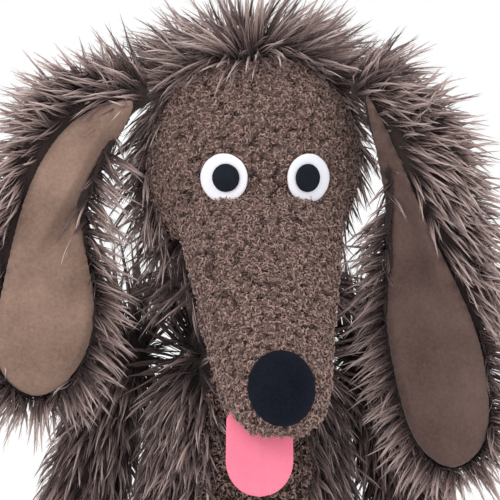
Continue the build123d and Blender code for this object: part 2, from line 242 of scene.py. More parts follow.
def ball(name, middle, radius, material, turns=48, levels=24):
    """Round ball, its faces always in the same order."""
    points = [middle + UP * radius]
    for level in range(1, levels):
        tilt = math.pi * level / levels
        circle = math.sin(tilt)
        for k in range(turns):
            angle = 2 * math.pi * k / turns
            spoke = np.array((circle * math.cos(angle), circle * math.sin(angle), math.cos(tilt)))
            points.append(middle + spoke * radius)
    points.append(middle - UP * radius)
    faces = [(0, 1 + k, 1 + (k + 1) % turns) for k in range(turns)]
    for level in range(levels - 2):
        a = 1 + level * turns
        for k in range(turns):
            step = (k + 1) % turns
            faces.append((a + k, a + turns + k, a + turns + step, a + step))
    last = 1 + (levels - 2) * turns
    faces += [(last + (k + 1) % turns, last + k, len(points) - 1) for k in range(turns)]
    return mesh_from(name, points, faces, material)


def body_from(name, nodes, material, voxel=0.004, rounds=12, grow=0.0):
    """One smooth soft body around CAD solids, remeshed so that their seams run together."""
    joined = bmesh.new()
    for node in nodes:
        joined.from_mesh(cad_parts[node].data)
    mesh = bpy.data.meshes.new(name)
    joined.to_mesh(mesh)
    joined.free()
    rough = bpy.data.objects.new(name + "_rough", mesh)
    bpy.context.scene.collection.objects.link(rough)
    remesh = rough.modifiers.new("remesh", "REMESH")
    remesh.mode = "VOXEL"
    remesh.voxel_size = voxel
    soften = rough.modifiers.new("soften", "SMOOTH")
    soften.factor = 0.6
    soften.iterations = rounds
    if grow:
        swell = rough.modifiers.new("swell", "DISPLACE")
        swell.mid_level = 0.0
        swell.strength = grow
    shaped = bpy.data.meshes.new_from_object(rough.evaluated_get(bpy.context.evaluated_depsgraph_get()))
    bpy.data.objects.remove(rough)
    shaped.name = name
    shaped.polygons.foreach_set("use_smooth", np.ones(len(shaped.polygons), dtype=bool))
    return link(name, shaped, material)


def points_of(obj):
    """Vertex places and normals of a mesh object."""
    mesh = obj.data
    places = np.empty(len(mesh.vertices) * 3)
    mesh.vertices.foreach_get("co", places)
    normals = np.empty(len(mesh.vertices) * 3)
    mesh.vertex_normals.foreach_get("vector", normals)
    return places.reshape(-1, 3), normals.reshape(-1, 3)


def scatter(obj, spacing, seed, keep=None):
    """Even but irregular points over a mesh, about one in each cell of that spacing, with their normals."""
    mesh = obj.data
    mesh.calc_loop_triangles()
    corners = np.empty(len(mesh.loop_triangles) * 3, dtype=np.int32)
    mesh.loop_triangles.foreach_get("vertices", corners)
    corners = corners.reshape(-1, 3)
    places, normals = points_of(obj)
    a, b, c = (places[corners[:, k]] for k in range(3))
    areas = np.linalg.norm(np.cross(b - a, c - a), axis=1) / 2
    draw = np.random.default_rng(seed)
    count = int(areas.sum() / spacing**2 * 5)
    chosen = draw.choice(len(areas), count, p=areas / areas.sum())
    first = np.sqrt(draw.random(count))[:, None]
    second = draw.random(count)[:, None]
    shares = (1 - first, first * (1 - second), first * second)
    where = sum(share * places[corners[chosen, k]] for k, share in enumerate(shares))
    facing = unit(sum(share * normals[corners[chosen, k]] for k, share in enumerate(shares)))
    if keep is not None:
        kept = keep(where, facing)
        where, facing = where[kept], facing[kept]
    cells = np.floor((where + draw.random(3) * spacing) / spacing).astype(np.int64)
    _, one_each = np.unique(cells, axis=0, return_index=True)
    one_each = np.sort(one_each)
    return where[one_each], facing[one_each]


OFF_AXIS = (0.31, 0.17, 0.53)


def strand_mesh(name, paths, radii, tones, material):
    """Three-sided tapering strands along paths (strand, step, xyz), as one or more objects.

    The pile map holds each strand's tone across and its way from root to tip along.
    """
    strands, steps, _ = paths.shape
    sides = 3
    per_strand = sides * steps
    quads = sides * (steps - 1)
    most = MOST_FACES // (quads * 2 + 2)
    objects = []
    for part, start in enumerate(range(0, strands, most)):
        path = paths[start:start + most]
        radius = radii[start:start + most]
        tone = tones[start:start + most]
        count = len(path)
        along = unit(np.gradient(path, axis=1))
        slanted = np.roll(along.mean(axis=1), 1, axis=1)[:, None, :] + OFF_AXIS
        across = unit(np.cross(along, slanted))
        beside = np.cross(along, across)
        angles = np.arange(sides) * 2 * math.pi / sides
        ring = (
            across[:, :, None, :] * np.cos(angles)[None, None, :, None]
            + beside[:, :, None, :] * np.sin(angles)[None, None, :, None]
        )
        places = path[:, :, None, :] + ring * radius[:, :, None, None]
        index = np.arange(count * per_strand).reshape(count, steps, sides)
        after = np.roll(index, -1, axis=2)
        corners = np.stack(
            (index[:, :-1], after[:, :-1], after[:, 1:], index[:, 1:]), axis=-1
        ).reshape(-1, 4)
        caps = np.concatenate((index[:, 0, ::-1], index[:, -1]), axis=0)
        length = np.broadcast_to(np.linspace(0.02, 0.98, steps)[None, :, None], (count, steps, sides))
        low = length[:, :-1].reshape(-1)
        high = length[:, 1:].reshape(-1)
        side_tone = tone[:, None, None] * 0.9 + 0.03 + np.zeros((count, steps - 1, sides))
        left = side_tone.reshape(-1)
        right = left + 0.02
        quad_map = np.stack((left, low, right, low, right, high, left, high), axis=-1)
        cap_tone = np.concatenate((tone, tone)) * 0.9 + 0.03
        cap_way = np.concatenate((np.full(count, 0.01), np.full(count, 0.97)))
        cap_map = np.stack(
            (cap_tone, cap_way, cap_tone + 0.02, cap_way, cap_tone + 0.01, cap_way + 0.02), axis=-1
        )
        mesh = bpy.data.meshes.new(name)
        mesh.vertices.add(count * per_strand)
        mesh.vertices.foreach_set("co", places.reshape(-1))
        mesh.loops.add(corners.size + caps.size)
        mesh.loops.foreach_set("vertex_index", np.concatenate((corners.reshape(-1), caps.reshape(-1))))
        mesh.polygons.add(len(corners) + len(caps))
        starts = np.concatenate((np.arange(len(corners)) * 4, corners.size + np.arange(len(caps)) * 3))
        mesh.polygons.foreach_set("loop_start", starts.astype(np.int32))
        mesh.polygons.foreach_set("use_smooth", np.ones(len(starts), dtype=bool))
        layer = mesh.uv_layers.new(name=PILE_MAP)
        layer.data.foreach_set("uv", np.concatenate((quad_map.reshape(-1), cap_map.reshape(-1))))
        mesh.update(calc_edges=True)
        objects.append(link(f"{name}_{part + 1}", mesh, material))
    return objects


HAIRS = 5
LOCK_SPREAD = 0.0017
HAIR_RADIUS = 0.00034
CORE_RADIUS = 0.00085
HAIR_SWAY = 0.0015


def tufts(name, roots, normals, comb, length, seed, *, lift=0.42, droop=0.5, rough=0.26, light=0.5):
    """Long pile in locks: one soft tapering core with finer hairs that run together towards its tip."""
    draw = np.random.default_rng(seed)
    hairs = HAIRS
    count = len(roots)
    steps = 5
    comb = unit(comb + draw.normal(0, rough, (count, 3)))
    begin = unit(normals * lift + comb * (1 - lift) + draw.normal(0, rough * 0.5, (count, 3)))
    finish = unit(comb + DOWN * droop + normals * 0.12 + draw.normal(0, rough * 0.6, (count, 3)))
    reach = (np.asarray(length) * draw.uniform(0.62, 1.15, count))[:, None]
    way = np.linspace(0.0, 1.0, steps)
    axis = np.zeros((count, steps, 3))
    for k in range(1, steps):
        bend = ((way[k] + way[k - 1]) / 2) ** 0.7
        axis[:, k] = axis[:, k - 1] + unit(begin * (1 - bend) + finish * bend) * reach / (steps - 1)
    across = unit(np.cross(normals, comb + (0.013, 0.021, 0.017)))
    beside = np.cross(normals, across)
    turn = draw.uniform(0, 2 * math.pi, (count, hairs, 1))
    out = np.sqrt(draw.uniform(0.2, 1.0, (count, hairs, 1))) * LOCK_SPREAD
    out[:, 0] = 0.0
    shift = across[:, None, :] * np.cos(turn) * out + beside[:, None, :] * np.sin(turn) * out
    gather = 1 - 0.8 * smooth_step(0.0, 0.95, way)
    own_reach = draw.uniform(0.7, 1.04, (count, hairs, 1, 1))
    own_reach[:, 0] = 1.0
    sway = draw.normal(0, HAIR_SWAY, (count, hairs, 1, 3)) * np.sin(way * math.pi * 1.3)[None, None, :, None]
    sway[:, 0] *= 0.3
    paths = (
        roots[:, None, None, :]
        - normals[:, None, None, :] * 0.001
        + axis[:, None, :, :] * own_reach
        + shift[:, :, None, :] * gather[None, None, :, None]
        + sway
    ).reshape(-1, steps, 3)
    fine = np.array((0.9, 1.0, 0.85, 0.55, 0.06)) * HAIR_RADIUS
    body = np.array((0.55, 1.0, 1.05, 0.72, 0.05)) * CORE_RADIUS
    width = np.repeat(fine[None, None, :], hairs, axis=1)
    width = np.repeat(width, count, axis=0)
    width[:, 0] = body
    radii = (width * draw.uniform(0.75, 1.25, (count, hairs, 1))).reshape(-1, steps)
    bright = draw.random((count, 1)) < light
    tone = np.where(bright, draw.uniform(0.6, 1.0, (count, 1)), draw.uniform(0.0, 0.3, (count, 1)))
    tone = np.clip(tone + draw.normal(0, 0.12, (count, hairs)), 0, 1).reshape(-1)
    return strand_mesh(name, np.clip(paths, ROOM_LOW, ROOM_HIGH), radii, tone, long_fur)


LUMP = 0.0033
LUMP_SPACING = 0.0054
LUMP_RISE = 0.0021
CURL_SPACING = 0.0023
CURL_SIZE = 0.0015
CURL_RADIUS = 0.00064


def lumps(where, centres):
    """Height from 0 in the dips to 1 on the crowns of a lumpy pile with those lump centres."""
    tree = KDTree(len(centres))
    for k, place in enumerate(centres):
        tree.insert(place, k)
    tree.balance()
    near = np.array([tree.find(place)[2] for place in where])
    return np.sqrt(np.clip(1 - (near / LUMP) ** 2, 0.0, 1.0))


def lumpy(obj, centres, part):
    """Raise soft lumps on a part of a mesh, and colour each vertex by its share of the rise: painted shade
    in the dips, painted highlight on the crowns.
    """
    places, normals = points_of(obj)
    rise = lumps(places, centres) * part(places, normals).astype(float)
    obj.data.vertices.foreach_set("co", (places + normals * (rise * LUMP_RISE)[:, None]).reshape(-1))
    obj.data.update()
    layer = obj.data.uv_layers.new(name=PILE_MAP)
    corner = np.empty(len(obj.data.loops), dtype=np.int32)
    obj.data.loops.foreach_get("vertex_index", corner)
    draw = np.random.default_rng(7)
    grain = draw.uniform(0.1, 0.5, len(places))
    # The level picks the colour along the pile ramp: painted shade in the dips, painted highlight on the
    # crowns.
    level = 0.02 + rise * 0.6 + draw.uniform(0.0, 0.05, len(places))
    layer.data.foreach_set("uv", np.stack((grain[corner], level[corner]), axis=-1).reshape(-1))


def curls(name, roots, normals, seed, centres, *, light=0.5, lay=0.0, comb=None, bright=None):
    """Curly pile: small open loops gathered in lumps, with a painted highlight on the crowns and painted
    shade in the dips.
    """
    draw = np.random.default_rng(seed)
    count = len(roots)
    steps = 7
    crown = lumps(roots, centres)
    first = unit(np.cross(normals, draw.normal(0, 1, (count, 3))))
    second = unit(np.cross(normals, first))
    tilt = draw.uniform(0.1, 0.75, (count, 1))
    up = unit(second * (1 - tilt) + normals * tilt)
    radius = CURL_SIZE * draw.uniform(0.65, 1.3, (count, 1))
    start = draw.uniform(0, 2 * math.pi, (count, 1))
    way = np.linspace(0, 1, steps)[None, :]
    angle = start + way * draw.uniform(3.4, 5.6, (count, 1))
    drift = (way - 0.5) * draw.uniform(0.4, 1.6, (count, 1)) * CURL_SIZE
    side = np.cross(first, up)
    seat = normals * (crown[:, None] * LUMP_RISE + radius * 0.3)
    paths = (
        (roots + seat)[:, None, :]
        + first[:, None, :] * (np.cos(angle) * radius)[:, :, None]
        + up[:, None, :] * (np.sin(angle) * radius)[:, :, None]
        + side[:, None, :] * drift[:, :, None]
    )
    if comb is not None:
        paths = paths + comb[:, None, :] * ((way - 0.3) * CURL_SIZE * lay)[:, :, None]
    radii = np.full((count, steps), CURL_RADIUS) * draw.uniform(0.75, 1.2, (count, 1))
    radii[:, 0] *= 0.4
    radii[:, -1] *= 0.4
    # Painted light: curls on the lumps' crowns are lighter and those in the dips darker.
    tone = draw.normal(light, 0.2, count) + (crown - 0.55) * 0.9
    if bright is not None:
        tone = tone + bright
    return strand_mesh(name, paths, radii, np.clip(tone, 0, 1), curl_pile)


def dress(objects, body, slot, *nodes):
    """The pieces ride on a body and the CAD nodes are hidden; the slot is not used."""
    objects = objects if isinstance(objects, list) else [objects]
    for obj in objects:
        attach(obj, body)
    if nodes:
        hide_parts(*nodes)
    return objects


# ---------------------------------------------------------------- torso
WHORL = np.array((0.054, -0.045, 0.222))


def swept(flow, facing):
    """The flow laid into the surface that faces that way."""
    return unit(flow - facing * (flow * facing).sum(axis=1, keepdims=True))


def from_whorl(where, facing, fall_share=0.75):
    """The pile spreads from a point on each shoulder, then falls."""
    whorl = np.tile(WHORL, (len(where), 1))
    whorl[:, 0] *= np.sign(where[:, 0])
    away = unit((where - whorl) * (1.0, 0.5, 1.0))
    lower = smooth_step(0.235, 0.16, where[:, 2])[:, None]
    return swept(away + DOWN * fall_share * lower, facing)


torso = body_from("torso_backing", ["body_stuffing", "belly_panel"], backing_cloth, 0.004, 10)
dress(torso, "torso", "shaggy_fur", "body_fur", "body_stuffing", "belly_panel")
belly_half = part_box("belly_panel")[1][0]


def outer_side(where, facing):
    """True on the outside of the torso, away from its sleeve and its underside."""
    return (where[:, 0] * facing[:, 0] + where[:, 1] * facing[:, 1] > 0) & (facing[:, 2] > -0.7)


def on_chest(where, spread):
    """True on the curly chest, which narrows towards the neck."""
    narrowing = 1 - 0.38 * smooth_step(0.13, 0.25, where[:, 2])
    return (np.abs(where[:, 0] - 0.008) < belly_half * spread * narrowing) & (where[:, 1] < 0)


def torso_furry(where, facing):
    return outer_side(where, facing) & ~on_chest(where, 0.8 + 0.05 * np.sin(where[:, 2] * 190))


def torso_curly(where, facing):
    return outer_side(where, facing) & on_chest(where, 0.95)


TORSO_PILE = 0.036
SHOULDER_PILE = 0.030
roots, facing = scatter(torso, 0.0050, 11, torso_furry)
shoulder_share = smooth_step(0.17, 0.23, roots[:, 2]) * smooth_step(0.02, -0.02, roots[:, 1])
comb = unit(from_whorl(roots, facing) + UP * 1.3 * shoulder_share[:, None])
pile = tufts(
    "torso_fur", roots, facing, comb, TORSO_PILE + SHOULDER_PILE * shoulder_share, 12, light=0.34, lift=0.40,
    droop=0.5 * (1 - shoulder_share[:, None]),
)
dress(pile, "torso", "shaggy_fur")
roots, facing = scatter(torso, CURL_SPACING, 13, torso_curly)
chest_lumps, _ = scatter(torso, LUMP_SPACING, 15, torso_curly)
# The chest's curls take a darker tone (light=0.3): painted shade under the head.
dress(curls("chest_curls", roots, facing, 14, chest_lumps, light=0.3), "torso", "boucle")


# ---------------------------------------------------------------- sleeve, hem and underside
def oval_tube(name, rings, material, turns=96):
    """Surface through level ovals, each (height, half width, half depth), the last joined to the first."""
    points = []
    faces = []
    for height, half_width, half_depth in rings:
        for k in range(turns):
            angle = 2 * math.pi * k / turns
            points.append((half_width * math.cos(angle), half_depth * math.sin(angle), height))
    for ring in range(len(rings)):
        after = (ring + 1) % len(rings)
        for k in range(turns):
            step = (k + 1) % turns
            faces.append((ring * turns + k, ring * turns + step, after * turns + step, after * turns + k))
    return mesh_from(name, points, faces, material)


# Height, half width and half depth of the room in the sleeve.
LINING_PROFILE = (
    (0.003, 0.058, 0.046), (0.045, 0.0585, 0.046), (0.09, 0.0565, 0.0445), (0.13, 0.054, 0.042),
    (0.17, 0.0485, 0.0385), (0.20, 0.042, 0.034), (0.225, 0.0355, 0.0288), (0.25, 0.030, 0.025),
)
LINING_OUT = 0.0004
LINING_IN = 0.002
CREASE_HEIGHT = 0.0006
sleeve_rings = []
for inset, profile in ((LINING_OUT, LINING_PROFILE), (LINING_IN, reversed(LINING_PROFILE))):
    for height, half_width, half_depth in profile:
        crease = CREASE_HEIGHT * math.sin(height * 210)
        sleeve_rings.append((height, half_width - inset + crease, half_depth - inset + crease))
sleeve = oval_tube("sleeve_inside", sleeve_rings, lining_cloth)
dress(sleeve, "torso", "lining_cloth", "sleeve_lining")

HEM_SWELL = 0.0015
HEM_RINGS = 16
hem_low, hem_high = (np.array(c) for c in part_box("hem_band"))
hem_middle = (hem_low[2] + hem_high[2]) / 2
hem_half = (hem_high[2] - hem_low[2]) / 2
hem_rings = []
for k in range(HEM_RINGS):
    angle = 2 * math.pi * k / HEM_RINGS
    swell = HEM_SWELL * math.cos(angle) - HEM_SWELL
    hem_rings.append((hem_middle + hem_half * math.sin(angle), hem_high[0] + swell, hem_high[1] + swell))
hem = oval_tube("hem_binding", hem_rings, velour_dark)
dress(hem, "torso", "velour", "hem_band")

BASE_HOLE = (0.056, 0.044)
BASE_RINGS = 12
_, base_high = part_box("base_ring")
width = (base_high[0] - BASE_HOLE[0]) / 2
depth = (base_high[1] - BASE_HOLE[1]) / 2
height = base_high[2] / 2
base_rings = []
for k in range(BASE_RINGS):
    angle = 2 * math.pi * k / BASE_RINGS
    across = 1 + math.copysign(abs(math.cos(angle)) ** 0.5, math.cos(angle))
    base_rings.append((
        height + height * math.sin(angle), BASE_HOLE[0] + width * across, BASE_HOLE[1] + depth * across
    ))
base = oval_tube("base_velour", base_rings, velour_dark)
dress(base, "torso", "velour", "base_ring")

# ---------------------------------------------------------------- neck
NECK_GROW = -0.004
NECK_NODES = ["neck_fur", "neck_stuffing", "neck_lining"]
neck = body_from("neck_backing", NECK_NODES, backing_cloth, 0.003, 4, NECK_GROW)
dress(neck, "neck", "shaggy_fur", "neck_fur", "neck_stuffing", "neck_lining")


def neck_outer(where, facing):
    outward = where[:, 0] * facing[:, 0] + where[:, 1] * facing[:, 1] > 0
    return outward & (np.abs(facing[:, 2]) < 0.8)


NECK_PILE = 0.058
roots, facing = scatter(neck, 0.0052, 21, neck_outer)
spread_down = unit(DOWN * 0.45 + facing * (1.0, 0.4, 0.0))
pile = tufts("neck_fur_pile", roots, facing, spread_down, NECK_PILE, 22, light=0.25, lift=0.5, droop=0.25)
dress(pile, "neck", "shaggy_fur")

# ---------------------------------------------------------------- head
head = body_from("head_form", ["face_panel", "head_stuffing", "finger_pocket"], curl_pile, 0.0016, 30)
dress(head, "head", "boucle", "face_panel", "head_stuffing", "head_hood", "crown_strip", "finger_pocket")
SNOUT_LINE = turned((0.0, -0.6, -0.8))
SNOUT_FRONT = turned((0.0, -0.8, 0.6))
FACE_TOP = 0.414
SEAM_BACK = -0.034
SEAM_MIDDLE = 0.340
SEAM_SLOPE = math.tan(math.radians(12.0))
SKULL_MIDDLE = np.array((0.0, -0.045, 0.335))


def spun(rows, angle):
    """Rows of places or directions, turned about the upright axis."""
    cos = math.cos(angle)
    sin = math.sin(angle)
    return np.stack(
        (rows[:, 0] * cos - rows[:, 1] * sin, rows[:, 0] * sin + rows[:, 1] * cos, rows[:, 2]), axis=1
    )


def ahead(where):
    """Places in the head's own straight-ahead frame."""
    return spun(where, -HEAD_YAW)


def sent(flow):
    """Directions given in the head's own frame, turned with the head."""
    return spun(flow, HEAD_YAW)


def head_outside(where, facing):
    """True away from the wrist opening and the hand room inside the head."""
    own = ahead(where)
    outward = ((own - SKULL_MIDDLE) * ahead(facing)).sum(axis=1) > 0.004
    under = (own[:, 2] < 0.292) & (own[:, 1] > -0.075)
    return outward & ~under


def on_face(where, extra=0.0):
    """True on the curly cloth, whose seam leans back and which ends in a wavy line at the crown."""
    own = ahead(where)
    seam = SEAM_BACK + extra - (own[:, 2] - SEAM_MIDDLE) * SEAM_SLOPE
    top = FACE_TOP + extra + 0.003 * np.sin(own[:, 0] * 150)
    return (own[:, 1] < seam) & (own[:, 2] < top)


def face_curly(where, facing):
    return on_face(where, 0.004) & head_outside(where, facing)


def hood_furry(where, facing):
    return ~on_face(where) & head_outside(where, facing)


def hood_comb(where, facing):
    """Sideways and down beside the face, straight down behind."""
    own = ahead(where)
    aside = np.clip(own[:, 0] / 0.05, -1, 1)
    behind = smooth_step(-0.04, 0.03, own[:, 1])
    flow = np.stack((aside * (1 - 0.55 * behind), -0.25 + 0.45 * behind, -0.55 - 0.4 * behind), axis=1)
    return swept(sent(flow), facing)


HOOD_PILE = 0.046
LOOSE_MORE = 0.018
TUCKED_LESS = 0.016
TUCKED_FLOW = (0.1, 0.7, -0.7)
roots, facing = scatter(head, 0.0047, 31, hood_furry)
own = ahead(roots)
tucked = (
    smooth_step(0.0, 0.04, own[:, 0])
    * smooth_step(0.375, 0.325, own[:, 2])
    * smooth_step(0.01, -0.03, own[:, 1])
)
loose = smooth_step(-0.02, -0.05, own[:, 0]) * smooth_step(0.36, 0.30, own[:, 2])
laid_back = swept(np.tile(TUCKED_FLOW, (len(roots), 1)), facing)
comb = unit(hood_comb(roots, facing) * (1 - tucked[:, None]) + laid_back * tucked[:, None])
pile = tufts(
    "hood_fur", roots, facing, comb, HOOD_PILE + LOOSE_MORE * loose - TUCKED_LESS * tucked, 32, light=0.45,
    lift=0.42 - 0.2 * tucked[:, None],
)
dress(pile, "head", "shaggy_fur")


def crown_zone(where, facing):
    own = ahead(where)
    return (own[:, 2] > 0.392) & (own[:, 1] < 0.01) & ~on_face(where, -0.001) & head_outside(where, facing)


CROWN_PILE = 0.058
roots, facing = scatter(head, 0.0035, 33, crown_zone)
own = ahead(roots)
parting = np.clip((own[:, 0] + 0.004) / 0.012, -1, 1)
upward = 0.42 - 0.35 * np.abs(own[:, 0]) / 0.06
sideways = np.stack((parting, np.full(len(own), -0.30), upward), axis=1)
pile = tufts(
    "crown_fur", roots, facing, unit(sent(sideways)), CROWN_PILE, 34, light=0.66, lift=0.5, droop=0.12,
    rough=0.34,
)
dress(pile, "head", "shaggy_fur")

face_lumps, _ = scatter(head, LUMP_SPACING, 37, face_curly)
roots, facing = scatter(head, CURL_SPACING, 35, face_curly)
muzzle = smooth_step(0.27, 0.18, ahead(roots)[:, 2])
pile = curls(
    "face_curls", roots, facing, 36, face_lumps, light=0.5, comb=SNOUT_LINE * muzzle[:, None], lay=1.6,
    bright=muzzle * 0.16,
)
dress(pile, "head", "boucle")
lumpy(head, face_lumps, face_curly)

# ---------------------------------------------------------------- jaw
jaw = body_from("jaw_form", ["jaw_skin", "jaw_stuffing", "thumb_pocket"], curl_pile, 0.0016, 12)
dress(jaw, "jaw", "boucle", "jaw_skin", "jaw_stuffing", "thumb_pocket")


def jaw_outside(where, facing):
    return (facing @ SNOUT_FRONT < 0.6) & (facing @ SNOUT_LINE > -0.7)


jaw_lumps, _ = scatter(jaw, LUMP_SPACING, 43, jaw_outside)
roots, facing = scatter(jaw, CURL_SPACING, 41, jaw_outside)
# The jaw's curls take a darker tone (light=0.35): painted shade under the muzzle.
dress(curls("jaw_curls", roots, facing, 42, jaw_lumps, light=0.35), "jaw", "boucle")
lumpy(jaw, jaw_lumps, jaw_outside)


PLATE_VOXEL = 0.0012
palate = body_from("palate_lining", ["palate_felt"], mouth_cloth, PLATE_VOXEL, 2)
dress(palate, "head", "mouth_felt", "palate_felt")
jaw_lining = body_from("jaw_lining", ["jaw_felt"], mouth_cloth, PLATE_VOXEL, 2)
dress(jaw_lining, "jaw", "mouth_felt", "jaw_felt")
for node in ("palate_board", "jaw_board"):
    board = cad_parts[node]
    for slot in board.material_slots:
        slot.material = board_cloth

# ---------------------------------------------------------------- nose and eyes
nose = body_from("nose_form", ["nose_cover", "nose_pad"], nose_felt, 0.002, 10)
dress(nose, "head", "navy_felt", "nose_cover", "nose_pad")


EYE_ASIDE = 0.029
SKULL_ROUND = 0.072
EYE_RADIUS = 0.0168
PUPIL_RADIUS = 0.0097
PUPIL_INWARD = 0.0020
# Share of the radius and of the thickness, from the middle of a disc's front to the edge of its back.
DISC_EDGE = ((0.0, 1.0), (0.5, 1.0), (0.86, 0.96), (0.97, 0.78), (1.0, 0.45), (1.0, 0.1), (0.97, 0.0))


def felt_disc(name, node, material, radius, thickness, lift, inward):
    """Round felt disc with soft cut edges, laid on the face where the CAD has it."""
    middle = centre_of(node)
    side = 1 if node.endswith("left") else -1
    ahead_share = -math.sqrt(SKULL_ROUND**2 - EYE_ASIDE**2) / SKULL_ROUND
    outward = unit(turned((side * EYE_ASIDE / SKULL_ROUND, ahead_share, 0.0)) + (0, 0, -0.05))
    across = unit(np.cross(UP, outward))
    upward = np.cross(outward, across)
    middle = middle - across * side * inward
    rings = DISC_EDGE
    turns = 72
    points = [middle + outward * (lift + thickness)]
    for share, level in rings[1:]:
        for k in range(turns):
            angle = 2 * math.pi * k / turns
            wobble = 1 + 0.004 * math.sin(5 * angle + side) + 0.003 * math.sin(11 * angle)
            points.append(
                middle
                + across * math.cos(angle) * radius * share * wobble
                + upward * math.sin(angle) * radius * share * wobble
                + outward * (lift + thickness * level)
            )
    faces = [(0, 1 + k, 1 + (k + 1) % turns) for k in range(turns)]
    for ring in range(len(rings) - 2):
        for k in range(turns):
            step = (k + 1) % turns
            a = 1 + ring * turns
            faces.append((a + k, a + turns + k, a + turns + step, a + step))
    faces.append(tuple(1 + (len(rings) - 2) * turns + k for k in reversed(range(turns))))
    return mesh_from(name, points, faces, material)


for side_name, nearer in (("right", 0.0022), ("left", 0.0)):
    white = felt_disc(
        "eye_disc_" + side_name, "eye_white_" + side_name, white_felt, EYE_RADIUS, 0.0022, 0.0024, nearer
    )
    dress(white, "head", "white_felt", "eye_white_" + side_name)
    dark = felt_disc(
        "pupil_disc_" + side_name, "pupil_" + side_name, slate_felt, PUPIL_RADIUS, 0.0014, 0.0016,
        PUPIL_INWARD + nearer,
    )
    dress(dark, "head", "slate_felt", "pupil_" + side_name)

# ---------------------------------------------------------------- tongue
tongue_low, tongue_high = (np.array(c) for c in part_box("tongue"))
tongue_middle = (tongue_low + tongue_high) / 2
across_tongue = turned((1.0, 0.0, 0.0))
HALF_TONGUE = 0.0236
TONGUE_ROOT = 0.014
TONGUE_STRAIGHT = 0.62
rows = 44
columns = 28
tongue_points = []
tongue_faces = []
for layer in (0, 1):
    for row in range(rows + 1):
        way = row / rows
        top = tongue_high[2] + TONGUE_ROOT
        height = top - (top - tongue_low[2]) * way
        into_tip = max(0.0, (way - TONGUE_STRAIGHT) / (1 - TONGUE_STRAIGHT))
        above = max(0.0, height - tongue_high[2]) / TONGUE_ROOT
        reach = HALF_TONGUE * math.sqrt(max(0.0, 1 - into_tip**2)) * (0.95 + 0.05 * way) * (1 - 0.35 * above)
        for column in range(columns + 1):
            share = 2 * column / columns - 1
            bow = 0.0016 * share**2 - 0.0012 * math.exp(-((share / 0.15) ** 2)) * way
            place = tongue_middle + across_tongue * share * reach
            edge = 1 - max(abs(share), into_tip) ** 8
            thickness = 0.0006 + 0.0007 * edge
            back = 0.0055 * above + 0.0010 * math.sin(way * 4.4) + bow
            tongue_points.append((place[0], place[1] + back + (thickness if layer else -thickness), height))
per_layer = (rows + 1) * (columns + 1)
for row in range(rows):
    for column in range(columns):
        a = row * (columns + 1) + column
        b = a + columns + 1
        tongue_faces.append((a, b, b + 1, a + 1))
        tongue_faces.append((per_layer + a, per_layer + a + 1, per_layer + b + 1, per_layer + b))
for row in range(rows):
    a = row * (columns + 1)
    b = a + columns + 1
    tongue_faces.append((a, per_layer + a, per_layer + b, b))
    a += columns
    b += columns
    tongue_faces.append((a, b, per_layer + b, per_layer + a))
for column in range(columns):
    tongue_faces.append((column, column + 1, per_layer + column + 1, per_layer + column))
tongue = mesh_from("tongue_felt", tongue_points, tongue_faces, pink_felt)
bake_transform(tongue)
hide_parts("tongue")

# ---------------------------------------------------------------- ears
ROLL_BACK = 0.006
ROLL_WIDTH = 0.007
FOLD_DEPTH = 0.010
EAR_SHRINK = 0.010
EAR_MARGIN = 0.0015
EAR_BAND = 0.85
EAR_PILE = 0.037
RIM_WIDTH = 0.004
BAND_START = 0.003
KNOT_RADIUS = 0.010
KNOT_PILE = 0.046
KNOT_Y = -0.066
KNOT_RISE = 0.003
# The two ends of each ear's soft fold, as (x, z).
CREASES = {"right": ((-0.104, 0.350), (-0.128, 0.307)), "left": ((0.112, 0.330), (0.128, 0.270))}


def flat_tree(places):
    """Search tree over the X and Z of those places."""
    tree = KDTree(len(places))
    for k, place in enumerate(places):
        tree.insert((place[0], 0.0, place[2]), k)
    tree.balance()
    return tree


def flat_gap(tree, where):
    """How far each place is from the nearest one in the tree, seen from the front."""
    return np.array([tree.find((place[0], 0.0, place[2]))[2] for place in where])


def ear_lining_mesh(name, node, material, crease, outline):
    """The velour front of an ear, following the CAD outline, with a soft fold and a rim that rolls back."""
    obj = body_from(name, [node], material, 0.0012, 3)
    places, _ = points_of(obj)
    low, high = (np.array(c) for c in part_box(node))
    height = (places[:, 2] - low[2]) / (high[2] - low[2])
    share = (places[:, 0] - low[0]) / (high[0] - low[0])
    (top_x, top_z), (end_x, end_z) = crease
    line = top_x + (end_x - top_x) * (top_z - places[:, 2]) / (top_z - end_z)
    inward = (places[:, 0] - line) * (1 if top_x < 0 else -1)
    below = smooth_step(end_z - 0.045, end_z + 0.01, places[:, 2])
    above = smooth_step(top_z + 0.03, top_z, places[:, 2])
    fold = FOLD_DEPTH * smooth_step(-0.004, 0.009, inward) * below * above
    ripple = 0.0016 * np.sin(share * 8 + height * 5) * (1 - height)
    ripple = ripple + 0.0012 * np.sin(height * 15 + share * 5)
    roll = ROLL_BACK * (1 - np.clip(flat_gap(outline, places) / ROLL_WIDTH, 0, 1)) ** 2
    places[:, 1] += fold + ripple - 0.0035 + roll
    obj.data.vertices.foreach_set("co", places.reshape(-1))
    obj.data.update()
    return obj


def midline(places):
    """Heights of a piece and the middle of its width at each."""
    levels = np.linspace(places[:, 2].min(), places[:, 2].max(), 24)
    middles = []
    for level in levels:
        near = places[np.abs(places[:, 2] - level) < 0.008]
        middles.append((near[:, 0].min() + near[:, 0].max()) / 2)
    return levels, np.array(middles)


